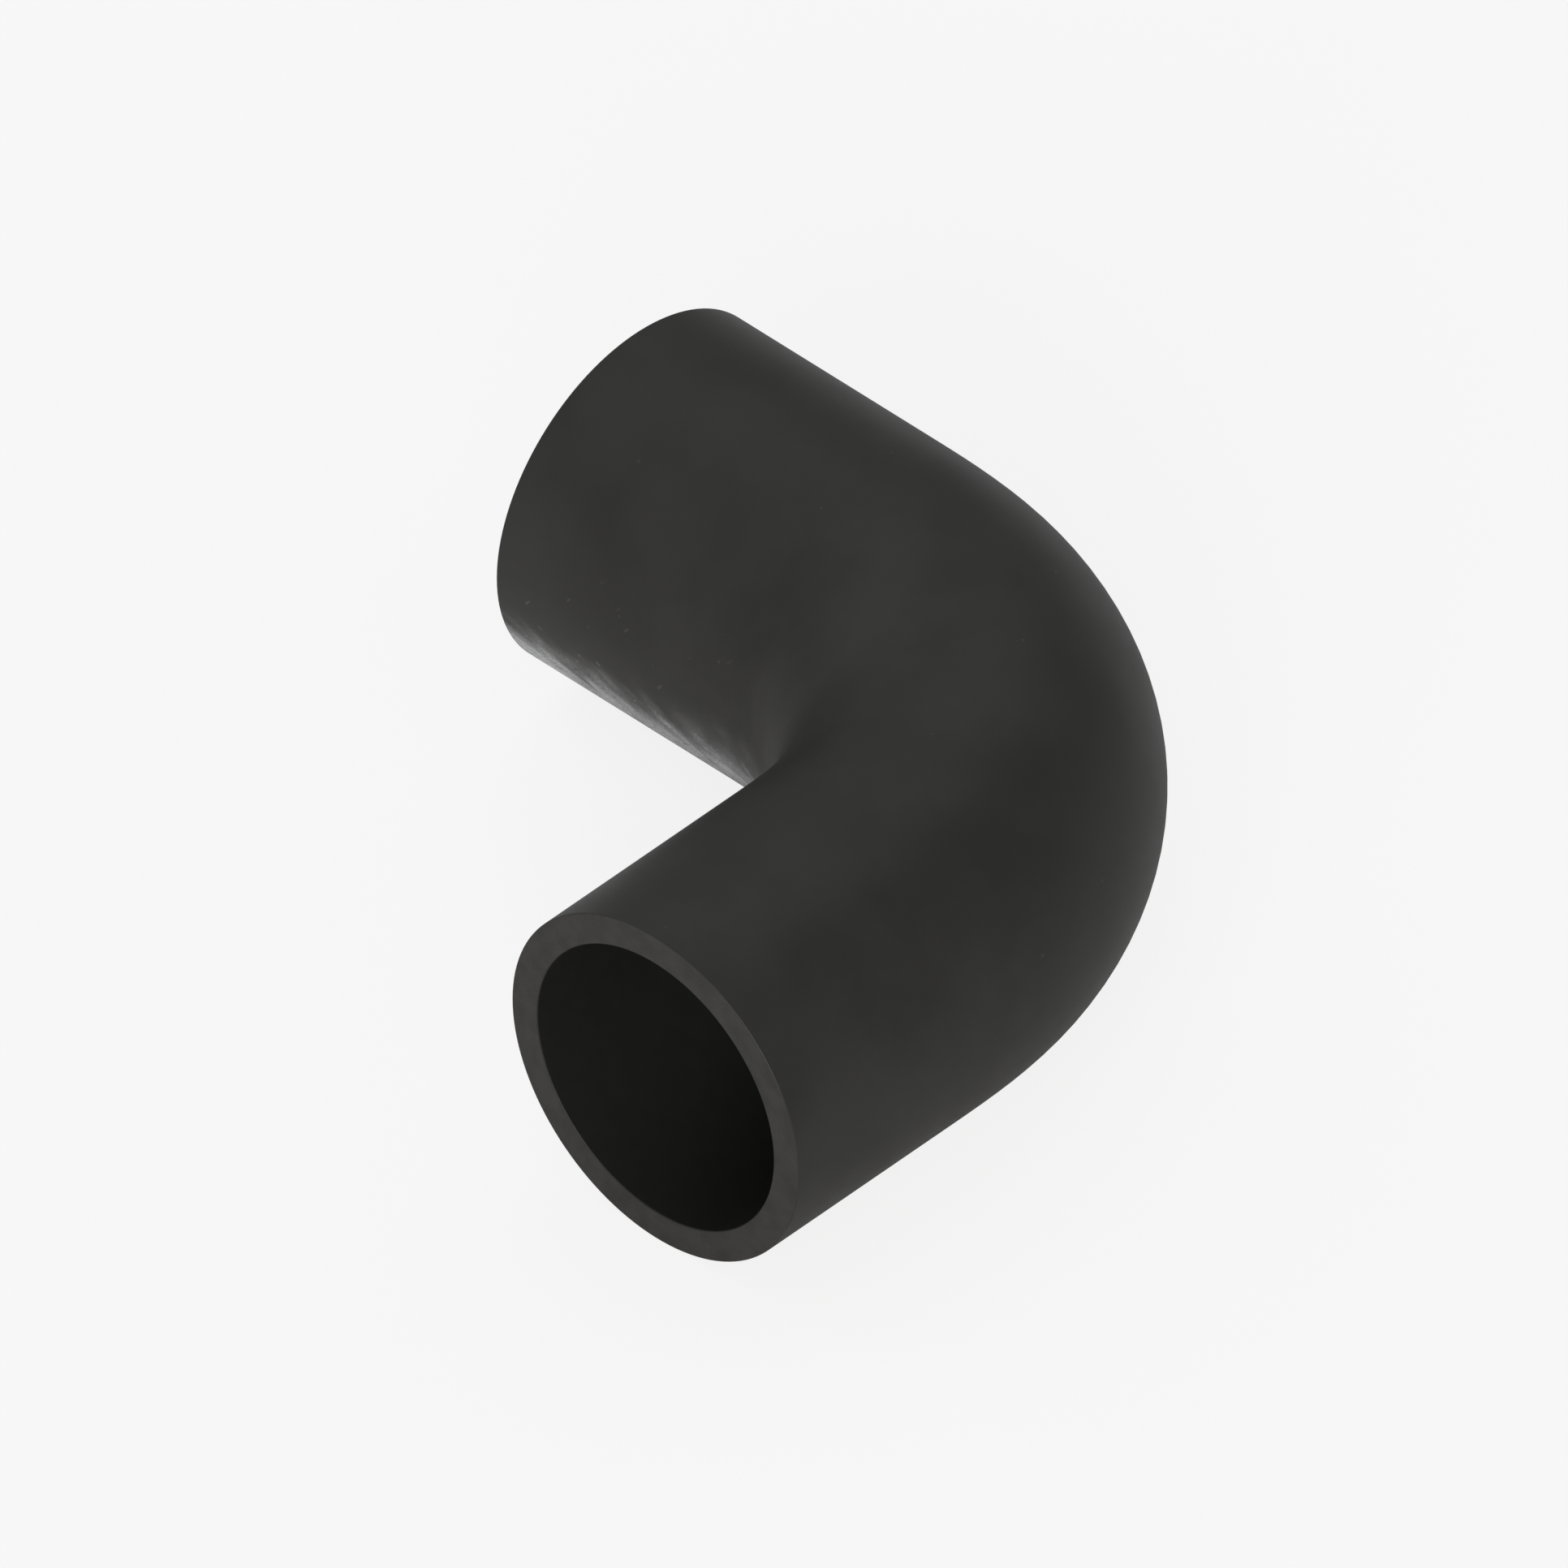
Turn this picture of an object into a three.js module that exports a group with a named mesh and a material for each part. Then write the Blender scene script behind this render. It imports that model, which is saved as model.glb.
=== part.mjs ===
import * as THREE from 'three';
import { mergeVertices } from 'three/addons/utils/BufferGeometryUtils.js';

// Radiator hose: a moulded rubber elbow with two straight legs and one even wall.
// Millimetres, +Z up. The hose lies on its side, with leg A's mouth facing -Y and leg B's
// facing -X. The origin is under the middle of its box, on the surface that it lies on.

// Driving dimensions
const BORE_DIAMETER = 50.8;
const WALL = 5.45;
const STRAIGHT_A = 51; // from the bend to the mouth, for the stub and its clamp
const STRAIGHT_B = 51;
const BEND_RADIUS = 51; // at the middle of the bore
const BEND_ANGLE = THREE.MathUtils.degToRad(90);
const EDGE_ROUND = 0.2; // on both edges of each mouth, which are cut

// Fineness of the faceted surface
const SECTION_SIDES = 64; // a multiple of four puts a corner at the top, bottom and both sides
const BEND_STEPS = 24;
const ROUND_STEPS = 2;

// Sizes that follow
const BORE_RADIUS = BORE_DIAMETER / 2;
const OUTER_RADIUS = BORE_RADIUS + WALL;
const BEND_LENGTH = BEND_RADIUS * BEND_ANGLE;
const HOSE_LENGTH = STRAIGHT_A + BEND_LENGTH + STRAIGHT_B;
const QUARTER_TURN = Math.PI / 2;

const rubber = new THREE.MeshStandardMaterial({
  name: 'rubber',
  color: 0x363534,
  roughness: 0.55,
  metalness: 0,
});

// Points at one radius, one for each ring of facets in the bend, counted from mouth A.
function bendRings(radius) {
  const rings = [];
  for (let step = 0; step <= BEND_STEPS; step += 1) {
    const distance = STRAIGHT_A + (BEND_LENGTH * step) / BEND_STEPS;
    rings.push(new THREE.Vector2(radius, distance));
  }
  return rings;
}

// A mouth's rounded edge: a quarter circle that starts after the given number of quarter turns.
function roundedEdge(radius, distance, quarters) {
  const start = quarters * QUARTER_TURN;
  const edge = new THREE.EllipseCurve(
    radius, distance, EDGE_ROUND, EDGE_ROUND, start, start + QUARTER_TURN,
  );
  return edge.getPoints(ROUND_STEPS);
}

// The cut wall of the straightened hose as one closed loop: x is the distance from the axis,
// and y is the distance along the hose from mouth A.
function wallSection() {
  const skin = bendRings(OUTER_RADIUS);
  const bore = bendRings(BORE_RADIUS).reverse();
  const outerEdge = OUTER_RADIUS - EDGE_ROUND;
  const innerEdge = BORE_RADIUS + EDGE_ROUND;
  const edgeAtA = EDGE_ROUND;
  const edgeAtB = HOSE_LENGTH - EDGE_ROUND;
  return [
    ...skin,
    ...roundedEdge(outerEdge, edgeAtB, 0),
    ...roundedEdge(innerEdge, edgeAtB, 1),
    ...bore,
    ...roundedEdge(innerEdge, edgeAtA, 2),
    ...roundedEdge(outerEdge, edgeAtA, 3),
    skin[0],
  ];
}

// Moves a point of the straightened hose to its place on the elbow. The bend's centre is at the
// origin, leg A runs along +Y towards it, and x is the distance from the hose's axis to the
// outside of the bend.
function wrapRoundBend(point) {
  const inBend = THREE.MathUtils.clamp(point.y - STRAIGHT_A, 0, BEND_LENGTH);
  const beyond = point.y - STRAIGHT_A - inBend;
  const angle = inBend / BEND_RADIUS;
  const reach = BEND_RADIUS + point.x;
  const x = reach * Math.cos(angle) - beyond * Math.sin(angle);
  const y = reach * Math.sin(angle) + beyond * Math.cos(angle);
  point.set(x, y, point.z);
}

// The whole hose: its wall turned about the axis, closed at the seam of that turn, then bent.
function hoseGeometry() {
  const turned = new THREE.LatheGeometry(wallSection(), SECTION_SIDES);
  turned.deleteAttribute('normal');
  turned.deleteAttribute('uv');
  const geometry = mergeVertices(turned);
  const corners = geometry.attributes.position;
  const point = new THREE.Vector3();
  for (let index = 0; index < corners.count; index += 1) {
    point.fromBufferAttribute(corners, index);
    wrapRoundBend(point);
    corners.setXYZ(index, point.x, point.y, point.z);
  }
  geometry.computeVertexNormals();
  return geometry.center();
}

const hose = new THREE.Mesh(hoseGeometry(), rubber);
hose.name = 'hose';
hose.position.z = OUTER_RADIUS;

const group = new THREE.Group();
group.name = 'radiator_hose';
group.add(hose);

export default group;
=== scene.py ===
"""A moulded rubber radiator hose, lying on its side on a plain pale studio floor."""

import logging
import math
from dataclasses import dataclass, field
from enum import Enum, IntEnum
from typing import Any

import bmesh
import bpy
from mathutils import Matrix, Vector


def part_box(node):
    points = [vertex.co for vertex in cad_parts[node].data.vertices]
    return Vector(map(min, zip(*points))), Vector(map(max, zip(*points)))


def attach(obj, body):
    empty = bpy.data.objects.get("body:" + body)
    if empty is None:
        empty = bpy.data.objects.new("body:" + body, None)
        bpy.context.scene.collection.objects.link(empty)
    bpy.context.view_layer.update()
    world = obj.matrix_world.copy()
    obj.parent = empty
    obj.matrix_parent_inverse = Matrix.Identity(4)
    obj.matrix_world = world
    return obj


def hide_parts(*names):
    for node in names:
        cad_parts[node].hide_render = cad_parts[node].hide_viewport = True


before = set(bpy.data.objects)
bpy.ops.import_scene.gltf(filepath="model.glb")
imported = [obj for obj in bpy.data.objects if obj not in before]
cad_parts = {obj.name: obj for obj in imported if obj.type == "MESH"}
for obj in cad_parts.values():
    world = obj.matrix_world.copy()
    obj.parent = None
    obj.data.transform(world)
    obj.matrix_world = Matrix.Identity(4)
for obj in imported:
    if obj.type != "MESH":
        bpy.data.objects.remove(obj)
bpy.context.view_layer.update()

LOG = logging.getLogger("radiator_hose")
MM = 0.001

HOSE_NODE = "hose"
STRAIGHTENED = "straightened"

RELIEF_STRENGTH = 0.3
RELIEF_DEPTH = 0.06 * MM
LAMP_DISTANCE = 2.0
FACING = 0.999
SHARP_ANGLE = math.radians(60)

Colour = tuple[float, float, float]
WARM_LIGHT: Colour = (1.01, 1.0, 0.97)
COOL_LIGHT: Colour = (0.97, 0.99, 1.04)
WHITE: Colour = (1.0, 1.0, 1.0)


class Zone(Enum):
    """The three kinds of surface on the hose, in the order of its material slots."""

    SKIN = 0
    CUT = 1
    BORE = 2


class Seed(IntEnum):
    """The seeds of the random patterns, of which scratches use two each."""

    CLOUDS = 1
    WAVER = 2
    GRAIN = 3
    DULL_CLOUDS = 4
    CUT_GRAIN = 5
    PATCHES = 7
    SMEARS = 9
    FINE_SCRATCHES = 11
    FINE_STROKES = 16
    CROSSING_SCRATCHES = 17
    CROSSING_STROKES = 22


@dataclass(frozen=True)
class Noise:
    """A smooth random pattern about one half, with its patches per metre and its octaves."""

    scale: float
    octaves: float
    seed: Seed


@dataclass(frozen=True)
class Specks:
    """Small specks, at most one in each cell of a random pattern, and only in a share of them.

    A surface meets few of the specks of a 3D pattern. The specks of a 2D pattern, which is for
    flat coordinates, are turned by an angle and drawn out.
    """

    pitch: float
    radius: float
    share: float
    dimensions: str = "3D"
    degrees: float = 0.0
    squeeze: float = 1.0


@dataclass(frozen=True)
class Scratches:
    """Fine lines that run one way, in broken strokes.

    The width is the share of the pattern's range that counts as a line. The stroke scale is the
    number of strokes for each line's pitch.
    """

    degrees: float
    pitch: float
    squeeze: float
    width: float
    seed: Seed
    stroke_seed: Seed
    stroke_scale: float = 0.4
    stroke_edge: float = 0.5
    stroke_full: float = 0.62


class Term:
    """A shader socket that takes part in Python arithmetic, as a number does."""

    def __init__(self, graph: "ShaderGraph", socket: bpy.types.NodeSocket) -> None:
        """Keeps the graph that new Math nodes go in, and the socket itself."""
        self.graph = graph
        self.socket = socket

    def __add__(self, other: Any) -> "Term":
        """The sum of this and a number or another term."""
        return self.graph.maths("ADD", self, other)

    def __sub__(self, other: Any) -> "Term":
        """This less a number or another term."""
        return self.graph.maths("SUBTRACT", self, other)

    def __mul__(self, other: Any) -> "Term":
        """This times a number or another term."""
        return self.graph.maths("MULTIPLY", self, other)

    def __abs__(self) -> "Term":
        """This without its sign."""
        return self.graph.maths("ABSOLUTE", self)


class ShaderGraph:
    """The node tree of one material or of the world."""

    def __init__(self, tree: bpy.types.NodeTree) -> None:
        """Empties the tree.

        Args:
            tree: The node tree that the shader is built in.
        """
        self.tree = tree
        self.tree.nodes.clear()

    def node(
        self,
        kind: str,
        settings: dict[str, Any] | None = None,
        sockets: dict[str | int, Any] | None = None,
        output: str | int = 0,
    ) -> Term:
        """Adds one node.

        Args:
            kind: The node's type.
            settings: Its properties.
            sockets: The values or terms of its inputs, by name or number.
            output: The output that the returned term reads.

        Returns:
            The chosen output as a term.
        """
        made = self.tree.nodes.new(kind)
        for name, value in (settings or {}).items():
            setattr(made, name, value)
        for name, value in (sockets or {}).items():
            if isinstance(value, Term):
                self.tree.links.new(value.socket, made.inputs[name])
            else:
                made.inputs[name].default_value = value
        return Term(self, made.outputs[output]) if made.outputs else Term(self, None)

    def maths(self, operation: str, *values: Any) -> Term:
        """A Math node on numbers and terms.

        Args:
            operation: The node's operation.
            values: Its inputs in order.

        Returns:
            The result.
        """
        sockets = dict(enumerate(values))
        return self.node("ShaderNodeMath", {"operation": operation}, sockets)

    def smooth_step(self, value: Any, low: float, high: float) -> Term:
        """Eases from 0 to 1 as a value goes from one limit to the other.

        Args:
            value: The value to ease.
            low: Where the result is 0.
            high: Where the result is 1. It may be less than low.

        Returns:
            The eased value, from 0 to 1.
        """
        return self.node(
            "ShaderNodeMapRange",
            {"interpolation_type": "SMOOTHSTEP"},
            {"Value": value, "From Min": low, "From Max": high},
        )

    def drawn_out(self, place: Term, degrees: float, squeeze: float) -> Term:
        """Coordinates that draw a pattern out in one direction.

        Args:
            place: The coordinates.
            degrees: The turn about Z that brings the first axis to that direction.
            squeeze: The factor along the first axis, which is under 1.

        Returns:
            The new coordinates.
        """
        settings = {"vector_type": "POINT"}
        turn = (0.0, 0.0, math.radians(degrees))
        turned = self.node("ShaderNodeMapping", settings, {"Vector": place, "Rotation": turn})
        scale = (squeeze, 1.0, 1.0)
        return self.node("ShaderNodeMapping", settings, {"Vector": turned, "Scale": scale})

    def noise(self, place: Term, pattern: Noise) -> Term:
        """A smooth random pattern.

        Args:
            place: The coordinates, in metres.
            pattern: The pattern.

        Returns:
            The pattern's value.
        """
        sockets = {
            "Vector": place,
            "W": float(pattern.seed),
            "Scale": pattern.scale,
            "Detail": pattern.octaves,
        }
        return self.node("ShaderNodeTexNoise", {"noise_dimensions": "4D"}, sockets)

    def patches(self, place: Term, pattern: Noise, low: float = 0.3, high: float = 0.7) -> Term:
        """A smooth random pattern, eased so that it covers the whole range from 0 to 1.

        Args:
            place: The coordinates, in metres.
            pattern: The pattern.
            low: The pattern's value where the result is 0.
            high: The pattern's value where the result is 1.

        Returns:
            The eased value.
        """
        return self.smooth_step(self.noise(place, pattern), low, high)

    def specks(self, place: Term, pattern: Specks) -> Term:
        """Small specks.

        Args:
            place: The coordinates, in metres.
            pattern: The pattern.

        Returns:
            1 on a speck and 0 elsewhere.
        """
        if pattern.dimensions == "2D":
            place = self.drawn_out(place, pattern.degrees, pattern.squeeze)
        sockets = {"Vector": place, "Scale": 1 / pattern.pitch}
        settings = {"voronoi_dimensions": pattern.dimensions}
        distance = self.node("ShaderNodeTexVoronoi", settings, sockets, output="Distance")
        colour = self.node("ShaderNodeTexVoronoi", settings, sockets, output="Color")
        chance = self.node("ShaderNodeSeparateColor", sockets={"Color": colour}, output="Red")
        largest = pattern.radius / pattern.pitch
        size = self.smooth_step(chance, 1 - pattern.share, 1.0) * largest
        return self.maths("GREATER_THAN", size, distance)

    def scratches(self, place: Term, pattern: Scratches) -> Term:
        """Fine lines that run one way, in broken strokes.

        Args:
            place: Flat coordinates, in metres.
            pattern: The pattern.

        Returns:
            1 in the middle of a line and 0 away from it.
        """
        along = self.drawn_out(place, pattern.degrees, pattern.squeeze)
        lines = Noise(1 / pattern.pitch, 1.0, pattern.seed)
        strokes = Noise(pattern.stroke_scale / pattern.pitch, 0.0, pattern.stroke_seed)
        ridge = abs(self.noise(along, lines) - 0.5)
        drawn = self.patches(along, strokes, pattern.stroke_edge, pattern.stroke_full)
        return self.smooth_step(ridge, pattern.width, 0.0) * drawn

    def relief(self, height: Term) -> Term:
        """The normal of a surface with a shallow relief.

        Args:
            height: The height, where 1 is the relief's full depth.

        Returns:
            The normal.
        """
        sockets = {"Strength": RELIEF_STRENGTH, "Distance": RELIEF_DEPTH, "Height": height}
        return self.node("ShaderNodeBump", sockets=sockets)

    def clouded(self, colour: Colour, clouding: float, clouds: Term) -> Term:
        """A colour with darker and lighter clouds.

        Args:
            colour: The colour between them.
            clouding: The share that it is darkened and lightened by.
            clouds: The clouds, from 0 to 1.

        Returns:
            The clouded colour.
        """
        return self.blend(clouds, rgba(colour, 1 - clouding), rgba(colour, 1 + clouding))

    def blend(self, factor: Any, first: Any, second: Any) -> Term:
        """A colour between two others.

        Args:
            factor: 0 for the first colour and 1 for the second.
            first: The first colour.
            second: The second colour.

        Returns:
            The blended colour.
        """
        return self.node(
            "ShaderNodeMix", {"data_type": "RGBA"}, {0: factor, 6: first, 7: second}, output=2
        )

    def finish(self, surface: Term) -> None:
        """Ends a material or a world with its output.

        Args:
            surface: The shader that it shows.
        """
        kind = "Material" if isinstance(self.tree.id_data, bpy.types.Material) else "World"
        self.node(f"ShaderNodeOutput{kind}", sockets={"Surface": surface})


def new_material(name: str) -> tuple[bpy.types.Material, ShaderGraph]:
    """Makes a material whose nodes are still to be added.

    Args:
        name: Its name.

    Returns:
        The material and its empty graph.
    """
    made = bpy.data.materials.new(name)
    made.use_nodes = True
    return made, ShaderGraph(made.node_tree)


def add_object(name: str, content: bpy.types.ID) -> bpy.types.Object:
    """Adds an object to the scene.

    Args:
        name: Its name.
        content: Its mesh, lamp or camera.

    Returns:
        The object.
    """
    made = bpy.data.objects.new(name, content)
    bpy.context.scene.collection.objects.link(made)
    return made


def rgba(colour: Colour, factor: float = 1.0) -> tuple[float, ...]:
    """A colour as a socket takes it.

    Args:
        colour: Red, green and blue.
        factor: How many times brighter the result is.

    Returns:
        The colour with an alpha of 1.
    """
    return (*(channel * factor for channel in colour), 1.0)


@dataclass(frozen=True)
class SkinPoint:
    """Where a shaded point lies on the hose's outside.

    The place is on the straightened hose. The angle goes round the section from its top, and is
    negative on the inside of the bend. The flat place is on the unrolled skin.
    """

    place: Term
    along: Term
    angle: Term
    flat: Term


@dataclass(frozen=True)
class WornAndHighlightStrip:
    """A strip along leg B, smoothed and scratched by handling, with a painted highlight.

    It starts in the bend and goes to the mouth. Angles go round the section from its top, and are
    negative on the inside of the bend. An edge is where the strip starts to show, and full is
    where it is whole. Its upper edge wavers, and rises by the flare next to the bend. Its pale
    colour is partly wear and partly a painted highlight. The highlight paints the floor's
    reflection on the underside, and is paler next to the bend, where leg A shades the strip. Its
    upper edge next to the bend also has painted bounce light.
    """

    start: float
    fade: float = 24 * MM
    upper_edge: float = math.radians(-88)
    upper_full: float = math.radians(-122)
    lower_full: float = math.radians(-136)
    lower_edge: float = math.radians(-154)
    waver: float = math.radians(26)
    flare: float = math.radians(3.5)
    reach: float = 87 * MM
    frayed_end: float = 30 * MM
    far_strength: float = 0.64
    steepness: float = 4.0
    coat: float = 0.9
    coat_roughness: float = 0.3
    # Painted bounce light along the strip's upper edge next to the bend, in leg A's shade.
    bounce_edge: float = math.radians(-88)
    bounce_full: float = math.radians(-112)
    bounce_reach: float = 54 * MM
    bounce_middle: float = 34 * MM
    bounce_least: float = 0.14
    bounce_in_patches: float = 0.16
    waves: Noise = Noise(260, 4.0, Seed.WAVER)
    wave_degrees: float = -30
    wave_squeeze: float = 0.4

    def near_bend(self, graph: ShaderGraph, point: SkinPoint) -> Term:
        """How near a point is to the bend, from 0 at the mouth to 1 at the strip's start."""
        return graph.smooth_step(point.along, self.start + self.reach, self.start)

    def painted_bounce_light(self, graph: ShaderGraph, point: SkinPoint, patches: Term) -> Term:
        """How much painted bounce light the strip's upper edge has, which is most where the leg
        leaves the bend, in leg A's shade.

        Args:
            graph: The material's nodes.
            point: The place on the skin.
            patches: The patches that the painted light lies in.

        Returns:
            The strength, up to 1.
        """
        above = graph.smooth_step(point.angle, self.bounce_edge, self.bounce_full)
        below = graph.smooth_step(point.angle, self.lower_edge, self.lower_full)
        middle = self.start + self.bounce_middle
        begun = graph.smooth_step(point.along, self.start, middle)
        ended = graph.smooth_step(point.along, self.start + self.bounce_reach, middle)
        strength = patches * self.bounce_in_patches + self.bounce_least
        return above * below * begun * ended * strength

    def mask(self, graph: ShaderGraph, point: SkinPoint) -> Term:
        """Where the strip is, and how strongly its wear and painted highlight show there.

        Args:
            graph: The material's nodes.
            point: The place on the skin.

        Returns:
            A value that rises from 0 off the strip to 1 in its middle.
        """
        drawn = graph.drawn_out(point.flat, self.wave_degrees, self.wave_squeeze)
        waver = (graph.noise(drawn, self.waves) - 0.5) * self.waver
        wavering = point.angle + waver - self.near_bend(graph, point) * self.flare
        above = graph.smooth_step(wavering, self.upper_edge, self.upper_full)
        below = graph.smooth_step(wavering, self.lower_edge, self.lower_full)
        place = point.along + waver * self.frayed_end
        onward = graph.smooth_step(place, self.start, self.start + self.fade)
        return above * below * onward

    def scuff_and_highlight(self, graph: ShaderGraph, point: SkinPoint, worn_and_lit: Term) -> Term:
        """How pale and polished the strip is, which is most next to the bend, where leg A shades
        it.

        The paleness is partly wear and partly a painted highlight.

        Args:
            graph: The material's nodes.
            point: The place on the skin.
            worn_and_lit: The strip's mask.

        Returns:
            The strength, up to 1.
        """
        # The painted highlight grows towards the bend, where leg A shades the strip.
        gain = self.near_bend(graph, point) * (1 - self.far_strength) + self.far_strength
        return graph.maths("POWER", worn_and_lit, self.steepness) * gain


@dataclass(frozen=True)
class RubberSkin:
    """The hose's moulded outside: dull black rubber with clouds, dirt, specks and scratches, and
    with painted highlight and painted bounce light.

    Dirt lies low on the outside of the bend, where it also paints the floor's bounce light. It
    lies low on the inside next to the bend, near the strip, where it also paints light into leg
    A's shade. Pairs give the least strength and what patches add to it, or the angles where the
    dirt starts and where it is whole.
    """

    strip: WornAndHighlightStrip
    radius: float
    name: str = "moulded_skin"
    colour: Colour = (0.0248, 0.0246, 0.0222)
    # Dirt's colour, which the low masks also use as painted bounce light.
    dust_and_bounce_colour: Colour = (0.075, 0.067, 0.056)
    # The strip's pale colour, partly wear and partly a painted highlight.
    scuff_and_highlight_colour: Colour = (0.61, 0.615, 0.635)
    fleck_glint_colour: Colour = (0.85, 0.86, 0.88)
    roughness: float = 0.475
    dullness: float = 0.12
    specular_level: float = 0.3
    clouding: float = 0.14
    clouds: Noise = Noise(60, 4.0, Seed.CLOUDS)
    dull_clouds: Noise = Noise(90, 3.0, Seed.DULL_CLOUDS)
    dust_patches: Noise = Noise(130, 4.0, Seed.PATCHES)
    patch_edge: float = 0.4
    patch_full: float = 0.66
    # Dirt that also paints bounce light, low outside and low inside next to the bend.
    outside_dust_and_bounce: tuple[float, float] = (0.12, 0.3)
    outside_angles: tuple[float, float] = (108, 128)
    inside_haze_and_light: tuple[float, float] = (0.1, 0.2)
    inside_angles: tuple[float, float] = (-52, -100)
    grains: Specks = Specks(4.2 * MM, 0.26 * MM, 0.5)
    grain_strength: float = 0.5
    dashes: Specks = Specks(2.6 * MM, 0.24 * MM, 0.4, "2D", degrees=52, squeeze=0.3)
    dash_strength: float = 0.8
    # Pale flecks on the strip, which also paint glints in its highlight.
    glint_flecks: Specks = Specks(1.7 * MM, 0.22 * MM, 0.3, "2D", degrees=-26, squeeze=0.45)
    fleck_steepness: float = 2.5
    grain: Noise = Noise(1900, 3.0, Seed.GRAIN)
    plain_relief: float = 0.1
    smears: Noise = Noise(420, 4.0, Seed.SMEARS)
    smear_degrees: float = -28
    smear_squeeze: float = 0.3
    smear_gain: float = 0.45
    pale_grain_edge: float = 0.3
    pale_grain_full: float = 0.6
    pale_grain_gain: float = 0.5
    streak_floor: float = 0.35
    mark_loss: float = 0.3
    scratches: tuple[Scratches, Scratches] = (
        Scratches(-24, 0.5 * MM, 1 / 9, 0.06, Seed.FINE_SCRATCHES, Seed.FINE_STROKES),
        Scratches(38, 0.9 * MM, 1 / 12, 0.05, Seed.CROSSING_SCRATCHES, Seed.CROSSING_STROKES),
    )

    def material(self) -> bpy.types.Material:
        """Makes the material.

        Returns:
            The finished material.
        """
        made, graph = new_material(self.name)
        place = graph.node(
            "ShaderNodeAttribute", {"attribute_name": STRAIGHTENED}, output="Vector"
        )
        outward = graph.node("ShaderNodeSeparateXYZ", sockets={0: place}, output="X")
        along = graph.node("ShaderNodeSeparateXYZ", sockets={0: place}, output="Y")
        up = graph.node("ShaderNodeSeparateXYZ", sockets={0: place}, output="Z")
        angle = graph.maths("ARCTAN2", outward, up)
        flat = graph.node(
            "ShaderNodeCombineXYZ", sockets={"X": along, "Y": angle * self.radius, "Z": 0.0}
        )
        point = SkinPoint(place, along, angle, flat)
        worn_and_lit = self.strip.mask(graph, point)
        fine, crossing = (graph.scratches(flat, pattern) for pattern in self.scratches)
        marks = graph.maths("MAXIMUM", fine, crossing)
        grain = graph.noise(flat, self.grain)
        patches = graph.patches(place, self.dust_patches, self.patch_edge, self.patch_full)
        # The strip's pale colour is partly wear and partly a painted highlight.
        rubbed_and_lit = self.strip.scuff_and_highlight(graph, point, worn_and_lit) * self._streaks(graph, flat, marks, grain)
        # Painted bounce light at the strip's upper edge, in leg A's shade, makes it paler there
        # too.
        scuffed_and_lit = graph.maths("MAXIMUM", rubbed_and_lit, self.strip.painted_bounce_light(graph, point, patches))
        shader = graph.node(
            "ShaderNodeBsdfPrincipled",
            sockets={
                "Base Color": self._colour(graph, point, patches, worn_and_lit, scuffed_and_lit),
                "Roughness": self._roughness(graph, place),
                "Specular IOR Level": self.specular_level,
                "Coat Weight": scuffed_and_lit * self.strip.coat,
                "Coat Roughness": self.strip.coat_roughness,
                "Normal": self._relief(graph, worn_and_lit, marks, grain),
            },
        )
        graph.finish(shader)
        return made

    def _colour(
        self, graph: ShaderGraph, point: SkinPoint, patches: Term, worn_and_lit: Term, scuffed_and_lit: Term
    ) -> Term:
        """The rubber's colour, with clouds, dirt, scuffs, specks and painted highlight and bounce
        light.

        Args:
            graph: The material's nodes.
            point: The place on the skin.
            patches: The patches that dirt and painted bounce light lie in.
            worn_and_lit: Where the strip of wear and painted highlight is.
            scuffed_and_lit: How pale the strip is, as wear and as painted highlight and bounce
                light.

        Returns:
            The colour.
        """
        colour = graph.clouded(
            self.colour, self.clouding, graph.patches(point.place, self.clouds)
        )
        dust_and_bounce_colour = rgba(self.dust_and_bounce_colour)
        low_outside = self._low(graph, point, self.outside_angles)
        low_inside = self._low(graph, point, self.inside_angles)
        near_bend = self.strip.near_bend(graph, point)
        # Dirt low on the outside, which also paints the floor's bounce light there.
        least, added = self.outside_dust_and_bounce
        outside = low_outside * (patches * added + least)
        # Dirt low on the inside next to the bend, which also paints light into leg A's shade.
        least, added = self.inside_haze_and_light
        inside_dust_and_light = low_inside * near_bend * (patches * added + least)
        colour = graph.blend(outside + inside_dust_and_light, colour, dust_and_bounce_colour)
        grains = graph.specks(point.place, self.grains) * self.grain_strength
        dashes = graph.specks(point.flat, self.dashes) * low_inside * self.dash_strength
        colour = graph.blend(graph.maths("MAXIMUM", grains, dashes), colour, dust_and_bounce_colour)
        # Paints the strip pale: partly wear, partly painted highlight and painted bounce light.
        colour = graph.blend(scuffed_and_lit, colour, rgba(self.scuff_and_highlight_colour))
        # Pale flecks on the strip, which also paint glints in its painted highlight.
        shown = graph.maths("POWER", worn_and_lit, self.fleck_steepness)
        glint_flecks = graph.specks(point.flat, self.glint_flecks) * shown
        return graph.blend(glint_flecks, colour, rgba(self.fleck_glint_colour))

    def _low(self, graph: ShaderGraph, point: SkinPoint, degrees: tuple[float, float]) -> Term:
        """How far down one side of the hose a point is, eased from 0 to 1.

        Args:
            graph: The material's nodes.
            point: The place on the skin.
            degrees: The angles round the section where the result is 0 and where it is 1.

        Returns:
            The eased value.
        """
        edge, full = (math.radians(angle) for angle in degrees)
        return graph.smooth_step(point.angle, edge, full)

    def _roughness(self, graph: ShaderGraph, place: Term) -> Term:
        """The rubber's roughness: even, with faint duller clouds.

        Args:
            graph: The material's nodes.
            place: The place on the straightened hose.

        Returns:
            The roughness.
        """
        clouds = graph.noise(place, self.dull_clouds) - 0.5
        return clouds * self.dullness + self.roughness

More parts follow.
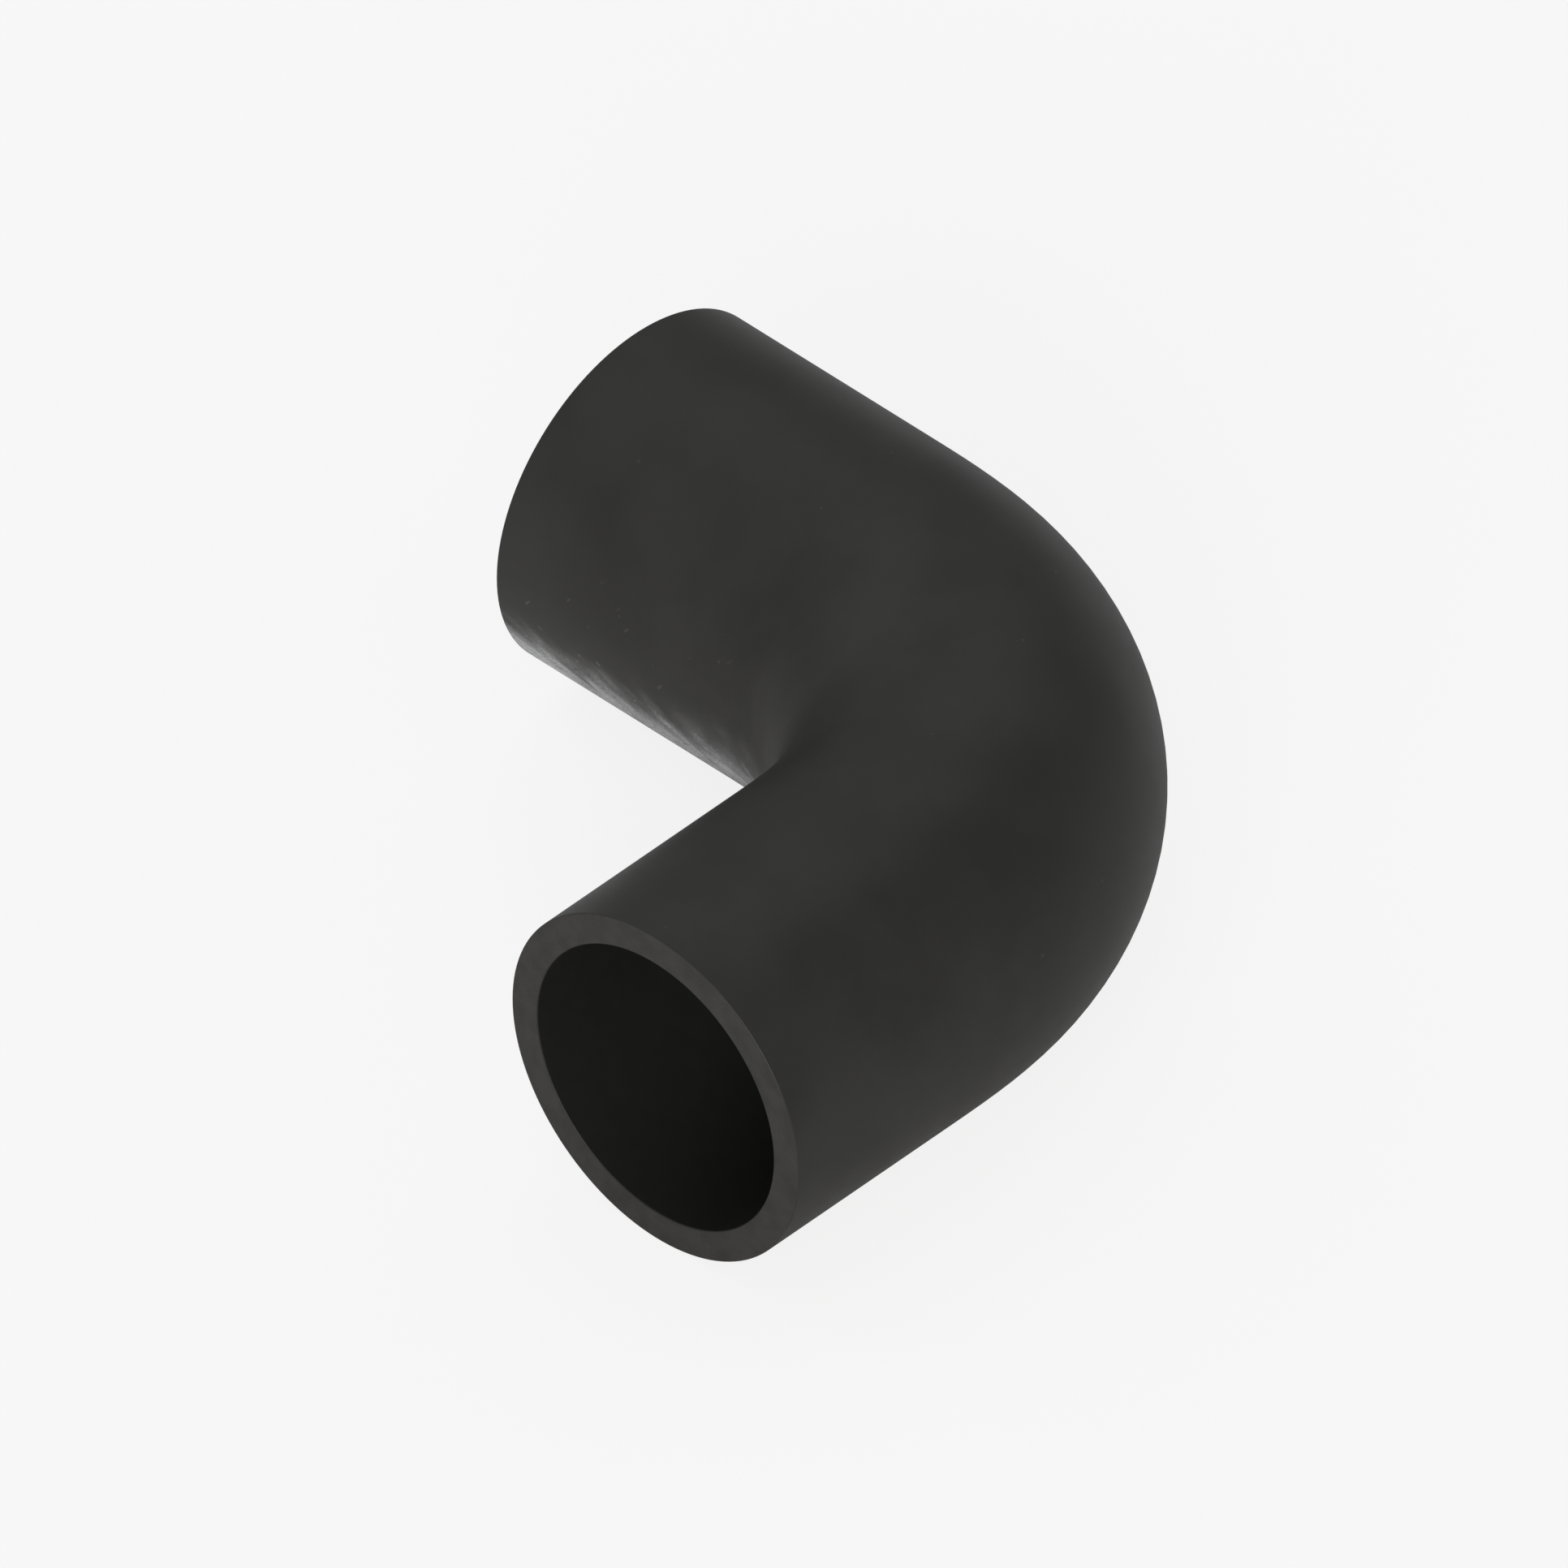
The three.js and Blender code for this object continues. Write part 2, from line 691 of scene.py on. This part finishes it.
    def _streaks(self, graph: ShaderGraph, flat: Term, marks: Term, grain: Term) -> Term:
        """The strip's streaks and fine grain, which break up its wear and its painted highlight.

        Args:
            graph: The material's nodes.
            flat: The place on the unrolled skin.
            marks: Where the scratches are.
            grain: The strip's fine grain.

        Returns:
            A factor of about 0.8 on average.
        """
        drawn = graph.drawn_out(flat, self.smear_degrees, self.smear_squeeze)
        smears = graph.patches(drawn, self.smears)
        grains = graph.smooth_step(grain, self.pale_grain_edge, self.pale_grain_full)
        paler = smears * self.smear_gain + grains * self.pale_grain_gain + self.streak_floor
        return paler - marks * self.mark_loss

    def _relief(self, graph: ShaderGraph, worn_and_lit: Term, marks: Term, grain: Term) -> Term:
        """The skin's shallow relief, which is deepest on the strip of wear.

        Args:
            graph: The material's nodes.
            worn_and_lit: Where the strip of wear and painted highlight is.
            marks: Where the strip's scratches are.
            grain: The skin's fine grain.

        Returns:
            The normal.
        """
        depth = worn_and_lit * (1 - self.plain_relief) + self.plain_relief
        return graph.relief(grain * depth - marks * worn_and_lit)


@dataclass(frozen=True)
class CutRubber:
    """The flat rubber of a cut mouth, or the bore's wall, with a fine grain and small nicks."""

    name: str
    colour: Colour
    roughness: float = 0.475
    specular_level: float = 0.3
    nick: Colour = (0.10, 0.10, 0.095)
    nicked_share: float = 0.3
    nick_pitch: float = 5.0 * MM
    nick_radius: float = 0.28 * MM
    nick_strength: float = 0.6
    clouding: float = 0.18
    clouds: Noise = Noise(320, 4.0, Seed.CLOUDS)
    grain: Noise = Noise(1700, 2.0, Seed.CUT_GRAIN)
    grain_height: float = 0.5
    grain_dullness: float = 0.2

    def material(self) -> bpy.types.Material:
        """Makes the material.

        Returns:
            The finished material.
        """
        made, graph = new_material(self.name)
        place = graph.node("ShaderNodeTexCoord", output="Object")
        colour = graph.clouded(self.colour, self.clouding, graph.patches(place, self.clouds))
        pattern = Specks(self.nick_pitch, self.nick_radius, self.nicked_share)
        nicks = graph.specks(place, pattern)
        grain = graph.noise(place, self.grain)
        shader = graph.node(
            "ShaderNodeBsdfPrincipled",
            sockets={
                "Base Color": graph.blend(nicks * self.nick_strength, colour, rgba(self.nick)),
                "Roughness": (grain - 0.5) * self.grain_dullness + self.roughness,
                "Specular IOR Level": self.specular_level,
                "Normal": graph.relief(grain * self.grain_height - nicks),
            },
        )
        graph.finish(shader)
        return made


@dataclass(frozen=True)
class Station:
    """A place on the hose's centreline, and the angle that the line has turned by there."""

    point: Vector
    heading: float


@dataclass(frozen=True)
class Centreline:
    """The line through the middle of the bore: straight, round the bend, and straight again.

    The line's curvature grows and fades over a short run at both ends of the bend, as it does in
    a moulded hose, and both legs keep their places.
    """

    start: Vector
    straight_a: float
    straight_b: float
    bend_radius: float
    bend_angle: float
    easing: float

    @property
    def eased_radius(self) -> float:
        """The radius of the middle of the bend, which makes up for the eased ends."""
        spread = self.easing**2 / 3
        return (self.bend_radius + math.sqrt(self.bend_radius**2 - 2 * spread)) / 2

    @property
    def bend_length(self) -> float:
        """The length of the bend."""
        return self.eased_radius * self.bend_angle

    @property
    def length(self) -> float:
        """The length of the whole line."""
        return self.straight_a + self.bend_length + self.straight_b

    def heading(self, along: float) -> float:
        """The angle that the line has turned by.

        Args:
            along: The distance from the start.

        Returns:
            The angle, from 0 in leg A to the bend's angle in leg B.
        """
        begun = self._eased(along - self.straight_a)
        ended = self._eased(along - self.straight_a - self.bend_length)
        return (begun - ended) / self.eased_radius

    def _eased(self, beyond: float) -> float:
        """A ramp from 0 that starts softly.

        Args:
            beyond: The distance past the ramp's start.

        Returns:
            The ramp's height.
        """
        if abs(beyond) < self.easing:
            return (beyond + self.easing) ** 2 / (4 * self.easing)
        return max(beyond, 0.0)

    def stations(self, first_step: float, steps: int) -> list[Station]:
        """Places along the line, evenly spaced apart from one near each end.

        Args:
            first_step: The distance from each end to its nearest place.
            steps: The number of even steps.

        Returns:
            The places in order.
        """
        even = (self.length - 2 * first_step) / steps
        marks = [0.0, *(first_step + even * step for step in range(steps + 1)), self.length]
        found = [Station(self.start.copy(), 0.0)]
        for before, after in zip(marks, marks[1:]):
            point = found[-1].point + self._run(before, after)
            found.append(Station(point, self.heading(after)))
        return found

    def _run(self, before: float, after: float, parts: int = 16) -> Vector:
        """The way from one place to another.

        Args:
            before: The first place's distance from the start.
            after: The second place's distance from the start.
            parts: How many short straight parts it is added up from.

        Returns:
            The vector from the first place to the second.
        """
        part = (after - before) / parts
        total = Vector((0, 0, 0))
        for number in range(parts):
            turned = self.heading(before + part * (number + 0.5))
            total += Vector((-math.sin(turned), math.cos(turned), 0)) * part
        return total


@dataclass
class ElbowHose:
    """The moulded hose: leg A along Y, a round bend, and leg B along X.

    Its outside follows the fixed frame, and the sizes that the frame's box can't give are
    fields.
    """

    bore_radius: float = 25.4 * MM
    bend_radius: float = 51 * MM
    bend_angle: float = math.radians(90)
    bend_easing: float = 9 * MM
    edge_round: float = 0.2 * MM
    shade_margin: float = 0.2 * MM
    strip_before_leg: float = 32 * MM
    sides: int = 128
    steps: int = 72
    round_segments: int = 5
    low: Vector = field(default_factory=lambda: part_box(HOSE_NODE)[0])
    high: Vector = field(default_factory=lambda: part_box(HOSE_NODE)[1])

    @property
    def outer_radius(self) -> float:
        """The radius of the outer skin."""
        return (self.high.z - self.low.z) / 2

    @property
    def axis_height(self) -> float:
        """The height of both legs' axes."""
        return self.low.z + self.outer_radius

    @property
    def crossing(self) -> Vector:
        """The point where the legs' axes cross."""
        return Vector(
            (self.high.x - self.outer_radius, self.high.y - self.outer_radius, self.axis_height)
        )

    @property
    def bend_centre(self) -> Vector:
        """The centre that the bend turns about."""
        return self.crossing - Vector((self.bend_radius, self.bend_radius, 0))

    @property
    def straight_a(self) -> float:
        """The length of leg A's straight."""
        return self.bend_centre.y - self.low.y

    @property
    def centreline(self) -> Centreline:
        """The line through the middle of the bore, from mouth A to mouth B."""
        return Centreline(
            start=Vector((self.crossing.x, self.low.y, self.axis_height)),
            straight_a=self.straight_a,
            straight_b=self.bend_centre.x - self.low.x,
            bend_radius=self.bend_radius,
            bend_angle=self.bend_angle,
            easing=self.bend_easing,
        )

    def build(self) -> bpy.types.Object:
        """Models the hose as one closed solid.

        Returns:
            The finished object, at the origin.
        """
        bm = bmesh.new()
        circles = self._mouth_circles(bm)
        bmesh.ops.bridge_loops(bm, edges=circles)
        stations = self.centreline.stations(self.edge_round + self.shade_margin, self.steps)
        for before, after in zip(stations, stations[1:]):
            circles = self._extrude_step(bm, circles, before, after)
        bmesh.ops.bridge_loops(bm, edges=circles)
        bmesh.ops.recalc_face_normals(bm, faces=bm.faces)
        self._round_mouths(bm)
        self._mark_zones(bm)
        mesh = bpy.data.meshes.new("elbow_hose")
        bm.to_mesh(mesh)
        bm.free()
        self._keep_straightened_places(mesh)
        mesh.shade_smooth()
        return add_object("elbow_hose", mesh)

    def _mouth_circles(self, bm: bmesh.types.BMesh) -> list[bmesh.types.BMEdge]:
        """Makes the two circles of mouth A, of the skin and the bore.

        Args:
            bm: The mesh that the circles go in.

        Returns:
            The circles' edges.
        """
        place = Matrix.Translation(self.centreline.start) @ Matrix.Rotation(
            math.radians(90), 4, "X"
        )
        for radius in (self.outer_radius, self.bore_radius):
            bmesh.ops.create_circle(bm, segments=self.sides, radius=radius, matrix=place)
        return list(bm.edges)

    def _extrude_step(
        self,
        bm: bmesh.types.BMesh,
        circles: list[bmesh.types.BMEdge],
        before: Station,
        after: Station,
    ) -> list[bmesh.types.BMEdge]:
        """Extrudes both circles to the next place on the centreline.

        Args:
            bm: The mesh.
            circles: The circles' edges.
            before: The circles' place.
            after: The next place.

        Returns:
            The edges of the new circles.
        """
        moved = bmesh.ops.extrude_edge_only(bm, edges=circles)["geom"]
        corners = [part for part in moved if isinstance(part, bmesh.types.BMVert)]
        turn = Matrix.Rotation(after.heading - before.heading, 3, "Z")
        bmesh.ops.rotate(bm, cent=before.point, matrix=turn, verts=corners)
        bmesh.ops.translate(bm, vec=after.point - before.point, verts=corners)
        return [part for part in moved if isinstance(part, bmesh.types.BMEdge)]

    def _round_mouths(self, bm: bmesh.types.BMesh) -> None:
        """Rounds both edges of each mouth, and keeps the ring between them flat.

        Args:
            bm: The mesh, with sharp mouths.
        """
        edges = [edge for edge in bm.edges if edge.calc_face_angle(0) > SHARP_ANGLE]
        bmesh.ops.bevel(
            bm,
            geom=edges,
            offset=self.edge_round,
            segments=self.round_segments,
            profile=0.5,
            affect="EDGES",
            material=-1,
        )
        bm.normal_update()
        flat = [face for face in bm.faces if self._is_cut(face)]
        bmesh.ops.inset_region(bm, faces=flat, thickness=self.shade_margin)

    def _is_cut(self, face: bmesh.types.BMFace) -> bool:
        """Whether a face lies in the plane of a mouth.

        Args:
            face: The face.

        Returns:
            True if it does.
        """
        middle = face.calc_center_median()
        near = min(middle.x - self.low.x, middle.y - self.low.y) < self.edge_round / 2
        return near and min(face.normal.x, face.normal.y) < -FACING

    def _straightened(self, place: Vector) -> Vector:
        """Where a point of the hose would be if the hose were straight.

        Args:
            place: The point on the bent hose.

        Returns:
            The point, with Y along the hose from mouth A, and the axis through the origin.
        """
        local = place - self.bend_centre
        turn = self.bend_angle
        if local.x > 0:
            turn = min(math.atan2(max(local.y, 0.0), local.x), self.bend_angle)
        outward = Vector((math.cos(turn), math.sin(turn), 0))
        onward = Vector((-math.sin(turn), math.cos(turn), 0))
        along = self.straight_a + self.bend_radius * turn + local.dot(onward)
        return Vector((local.dot(outward) - self.bend_radius, along, local.z))

    def _mark_zones(self, bm: bmesh.types.BMesh) -> None:
        """Gives each face the material slot of its zone.

        Args:
            bm: The mesh, in its final shape.
        """
        bm.normal_update()
        middle_of_wall = (self.outer_radius + self.bore_radius) / 2
        for face in bm.faces:
            place = self._straightened(face.calc_center_median())
            radius = math.hypot(place.x, place.z)
            zone = Zone.SKIN if radius > middle_of_wall else Zone.BORE
            if self._is_cut(face):
                zone = Zone.CUT
            face.material_index = zone.value

    def _keep_straightened_places(self, mesh: bpy.types.Mesh) -> None:
        """Keeps each corner's place on the straightened hose, for patterns that follow it.

        Args:
            mesh: The finished mesh.
        """
        kept = mesh.attributes.new(STRAIGHTENED, "FLOAT_VECTOR", "POINT")
        for corner, value in zip(mesh.vertices, kept.data):
            value.vector = self._straightened(corner.co)

    def dress(self, made: bpy.types.Object) -> None:
        """Gives the hose its finishes, one for each zone.

        Args:
            made: The hose.
        """
        line = self.centreline
        strip = WornAndHighlightStrip(start=line.straight_a + line.bend_length - self.strip_before_leg)
        finishes = {
            Zone.SKIN: RubberSkin(strip=strip, radius=self.outer_radius),
            Zone.CUT: CutRubber("cut_wall", colour=(0.0275, 0.0264, 0.0243)),
            # The bore is darker than the skin, which is partly painted shade deep in the bore.
            Zone.BORE: CutRubber(
                "smooth_bore", colour=(0.0174, 0.0182, 0.0153), nicked_share=0.05, clouding=0.05
            ),
        }
        for zone in Zone:
            made.data.materials.append(finishes[zone].material())


@dataclass(frozen=True)
class SoftLamp:
    """A wide, distant softbox, which lights the whole scene evenly from one direction."""

    name: str
    azimuth: float
    elevation: float
    level: float
    colour: Colour
    width: float = 50.0

    def build(self) -> bpy.types.Object:
        """Hangs the lamp.

        Returns:
            The lamp.
        """
        lamp = bpy.data.lights.new(self.name, "SUN")
        lamp.angle = math.radians(self.width)
        lamp.energy = self.level * math.pi
        lamp.color = self.colour
        made = add_object(self.name, lamp)
        outward = direction_from(self.azimuth, self.elevation)
        made.location = outward * LAMP_DISTANCE
        made.rotation_mode = "QUATERNION"
        made.rotation_quaternion = outward.to_track_quat("Z", "Y")
        return made


def direction_from(azimuth: float, elevation: float) -> Vector:
    """The direction from the hose to a camera or lamp.

    Args:
        azimuth: Degrees round from the front, towards the right.
        elevation: Degrees above the floor.

    Returns:
        A unit vector.
    """
    around = math.radians(azimuth)
    up = math.radians(elevation)
    return Vector(
        (math.sin(around) * math.cos(up), -math.cos(around) * math.cos(up), math.sin(up))
    )


@dataclass
class Studio:
    """The plain floor, the soft light and the camera."""

    floor_size: float = 8.0
    floor_colour: Colour = (0.92, 0.92, 0.92)
    floor_glow: float = 0.84
    world_level: float = 0.315
    camera_azimuth: float = 43.6
    camera_elevation: float = 40.65
    camera_distance: float = 1.2
    frame_width: float = 0.24429
    lamps: tuple[SoftLamp, ...] = (
        SoftLamp("soft_front", azimuth=30, elevation=12, level=0.84, colour=WARM_LIGHT),
        SoftLamp("soft_left", azimuth=-90, elevation=35, level=0.075, colour=COOL_LIGHT),
        SoftLamp("soft_back", azimuth=-150, elevation=55, level=0.09, colour=COOL_LIGHT),
    )

    def build(self) -> None:
        """Makes the floor, the world, the lamps and the camera."""
        low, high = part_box(HOSE_NODE)
        self._lay_floor(low.z)
        self._light_world()
        for lamp in self.lamps:
            lamp.build()
            LOG.info("lamp %s", lamp.name)
        self._place_camera((low + high) / 2)
        bpy.context.scene.view_settings.view_transform = "Standard"

    def _lay_floor(self, height: float) -> None:
        """Lays the floor.

        Args:
            height: Its height.
        """
        bm = bmesh.new()
        place = Matrix.Translation((0, 0, height))
        half = self.floor_size / 2
        bmesh.ops.create_grid(bm, x_segments=1, y_segments=1, size=half, matrix=place)
        mesh = bpy.data.meshes.new("studio_floor")
        bm.to_mesh(mesh)
        bm.free()
        floor = add_object("studio_floor", mesh)
        mesh.materials.append(self._floor_paper())

    def _floor_paper(self) -> bpy.types.Material:
        """The floor's matt white paper, which looks brighter to the camera than it is.

        Returns:
            The material.
        """
        made, graph = new_material("studio_paper")
        seen = graph.node("ShaderNodeLightPath", output="Is Camera Ray")
        glow = seen * self.floor_glow
        paper = graph.node("ShaderNodeBsdfDiffuse", sockets={"Color": rgba(self.floor_colour)})
        white = graph.node("ShaderNodeEmission", sockets={"Color": rgba(WHITE)})
        graph.finish(graph.node("ShaderNodeMixShader", sockets={0: glow, 1: paper, 2: white}))
        return made

    def _light_world(self) -> None:
        """Lights the scene evenly from all round, in front of a white background."""
        world = bpy.data.worlds.new("studio_world")
        world.use_nodes = True
        graph = ShaderGraph(world.node_tree)
        seen = graph.node("ShaderNodeLightPath", output="Is Camera Ray")
        level = seen * (1 - self.world_level) + self.world_level
        sockets = {"Color": rgba(WHITE), "Strength": level}
        graph.finish(graph.node("ShaderNodeBackground", sockets=sockets))
        bpy.context.scene.world = world

    def _place_camera(self, aim: Vector) -> None:
        """Places the camera.

        Args:
            aim: The point in the middle of its view.
        """
        lens = bpy.data.cameras.new("camera")
        lens.type = "ORTHO"
        lens.ortho_scale = self.frame_width
        made = add_object("camera", lens)
        back = direction_from(self.camera_azimuth, self.camera_elevation)
        made.location = aim + back * self.camera_distance
        made.rotation_mode = "QUATERNION"
        made.rotation_quaternion = (-back).to_track_quat("-Z", "Y")
        bpy.context.scene.camera = made


def main() -> None:
    """Builds the studio and the hose, and says what each piece rides on."""
    logging.basicConfig(level=logging.INFO, format="%(name)s: %(message)s")
    Studio().build()
    hose = ElbowHose()
    made = hose.build()
    hose.dress(made)
    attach(made, "root")
    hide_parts(HOSE_NODE)
    LOG.info("piece %s has %d faces", made.name, len(made.data.polygons))


if __name__ == "__main__":
    main()
